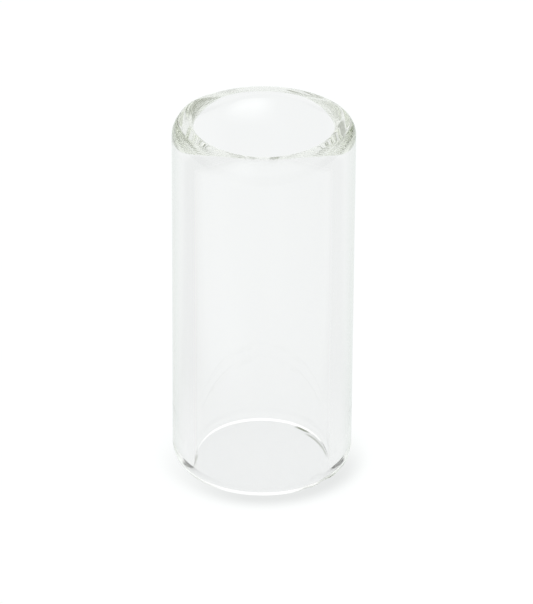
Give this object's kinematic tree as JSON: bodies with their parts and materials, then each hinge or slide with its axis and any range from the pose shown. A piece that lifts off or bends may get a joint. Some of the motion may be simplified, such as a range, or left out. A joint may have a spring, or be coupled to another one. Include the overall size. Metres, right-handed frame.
{
  "type": "guitar slide",
  "caption": "Clear heavy-wall glass tube, open at both ends with fire-polished rims, worn on a finger and slid along guitar strings.",
  "frame": {"origin": "on the tube's axis, at the flat ring of the end that it stands on", "axes": "+Z along the bore's axis, from the end that it stands on up to the other end; X and Y are any two directions across it, because the tube is round"},
  "size_m": [0.029, 0.029, 0.06],
  "materials": {
    "clear_glass": "clear, drawn and fire polished"
  },
  "bodies": {
    "root": {"glass_tube": "clear_glass"}
  },
  "joints": []
}
